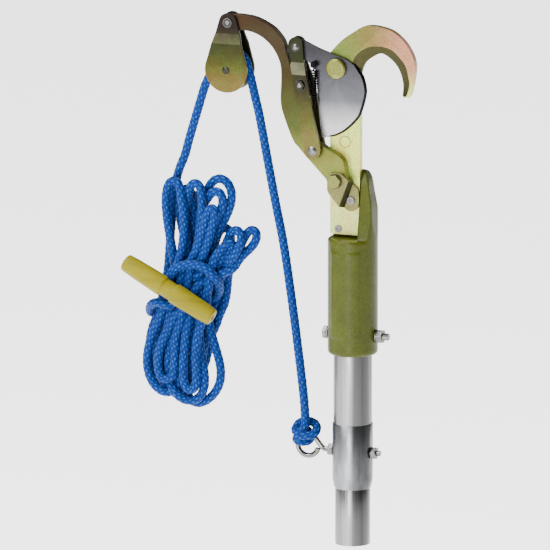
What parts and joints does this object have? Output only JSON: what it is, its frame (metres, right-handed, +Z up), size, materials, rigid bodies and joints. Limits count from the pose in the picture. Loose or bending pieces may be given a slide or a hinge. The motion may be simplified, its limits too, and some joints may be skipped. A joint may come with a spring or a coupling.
{
  "type": "rope-operated pole pruner head",
  "caption": "Pole pruner head with a fixed hook, a bypass blade, a double-link lever, a pulley block, a pull rope with handle and a cast adapter on a tube end.",
  "frame": {"origin": "centre of the lower tube's open bottom end, on the pole's axis", "axes": "+Z up the pole towards the hook, +X the way the hook bows out from the pole, -Y the front of the head, where blade and links lie"},
  "size_m": [0.2749, 0.0628, 0.4836],
  "materials": {
    "mill_aluminium": "drawn tube with fine lengthwise streaks",
    "green_paint": "gloss olive enamel over a sand casting",
    "yellow_zinc": "yellow zinc plate with a green to pink iridescence",
    "bright_zinc": "bright zinc plate",
    "polished_steel": "ground and polished blade steel",
    "black_spring": "blackened spring wire",
    "black_nylon": "moulded black nylon",
    "bronze": "sintered bronze bush",
    "blue_rope": "solid braid polypropylene rope, bright blue with paler flecks",
    "olive_wood": "turned hard handle in a yellow olive colour"
  },
  "bodies": {
    "pole": {"lower_tube": "mill_aluminium", "upper_tube": "mill_aluminium", "ferrule_sleeve": "mill_aluminium", "adapter_casting": "green_paint", "hook_plate": "yellow_zinc", "shank_rivet": "yellow_zinc", "casting_rivet": "bright_zinc", "bracket_rivet": "bright_zinc", "pivot_bracket": "yellow_zinc", "lever_pivot_bolt": "yellow_zinc", "lever_pivot_nut": "bright_zinc", "blade_pivot_bolt": "yellow_zinc", "blade_pivot_washer": "bright_zinc", "blade_pivot_nut": "bright_zinc", "casting_bolt": "bright_zinc", "casting_washers": "bright_zinc", "casting_nut": "bright_zinc", "eye_bolt": "bright_zinc", "eye_nuts": "bright_zinc", "rope_knot": "blue_rope"},
    "lever": {"lever_arm": "yellow_zinc", "link_lower_pin": "bright_zinc"},
    "link": {"link_front_upper": "yellow_zinc", "link_front_lower": "yellow_zinc", "link_rear": "yellow_zinc", "link_spacer": "bright_zinc", "link_bolt": "bright_zinc", "link_nut": "bright_zinc", "link_top_rivet": "bright_zinc", "return_spring": "black_spring"},
    "spring_top": {"spring_top_hook": "black_spring"},
    "blade": {"blade": "polished_steel", "spring_stud": "bright_zinc"},
    "block": {"cheek_front": "yellow_zinc", "cheek_rear": "yellow_zinc", "sheave_axle": "bright_zinc", "hang_pin": "bright_zinc", "rope_wrap": "blue_rope", "rope_fall": "blue_rope", "rope_hank": "blue_rope", "pull_handle": "olive_wood"},
    "sheave": {"sheave": "black_nylon", "sheave_bush": "bronze"},
    "rope_leg": {"rope_leg": "blue_rope"}
  },
  "joints": [
    {"name": "lever_swing", "type": "hinge", "parent": "pole", "child": "lever", "pos_m": [-0.011, -0.0084, 0.337], "axis": [0, -1, 0], "range_deg": [0, 100], "stiffness_Nm_per_rad": 0.6, "springref_deg": -143.24},
    {"name": "blade_close", "type": "hinge", "parent": "pole", "child": "blade", "pos_m": [-0.013, -0.0059, 0.439], "axis": [0, -1, 0], "range_deg": [0, 74.5]},
    {"name": "link_swing", "type": "hinge", "parent": "lever", "child": "link", "pos_m": [-0.033, -0.0084, 0.363], "axis": [0, -1, 0], "range_deg": [-109.5, 0]},
    {"name": "spring_stretch", "type": "slide", "parent": "link", "child": "spring_top", "axis": [-0.1468, 0, 0.9892], "range_m": [0, 0.0312], "deforming": ["return_spring", "spring_top_hook"]},
    {"name": "block_hang", "type": "hinge", "parent": "lever", "child": "block", "pos_m": [-0.116, -0.0084, 0.475], "axis": [0, -1, 0], "range_deg": [-100.5, 0]},
    {"name": "sheave_spin", "type": "hinge", "parent": "block", "child": "sheave", "pos_m": [-0.1165, -0.0084, 0.4315], "axis": [0, -1, 0], "continuous": true},
    {"name": "rope_lean", "type": "hinge", "parent": "pole", "child": "rope_leg", "pos_m": [-0.045, -0.003, 0.1125], "axis": [0, -1, 0], "range_deg": [0, 41], "deforming": ["rope_leg"]}
  ],
  "couplings": [
    {"joint": "blade_close", "follows": "lever_swing", "ratio": 0.74},
    {"joint": "link_swing", "follows": "lever_swing", "ratio": -1.09},
    {"joint": "block_hang", "follows": "lever_swing", "ratio": -1},
    {"joint": "spring_stretch", "follows": "lever_swing", "m_per_rad": 0.01776},
    {"joint": "rope_lean", "follows": "lever_swing", "ratio": 0.4085}
  ]
}
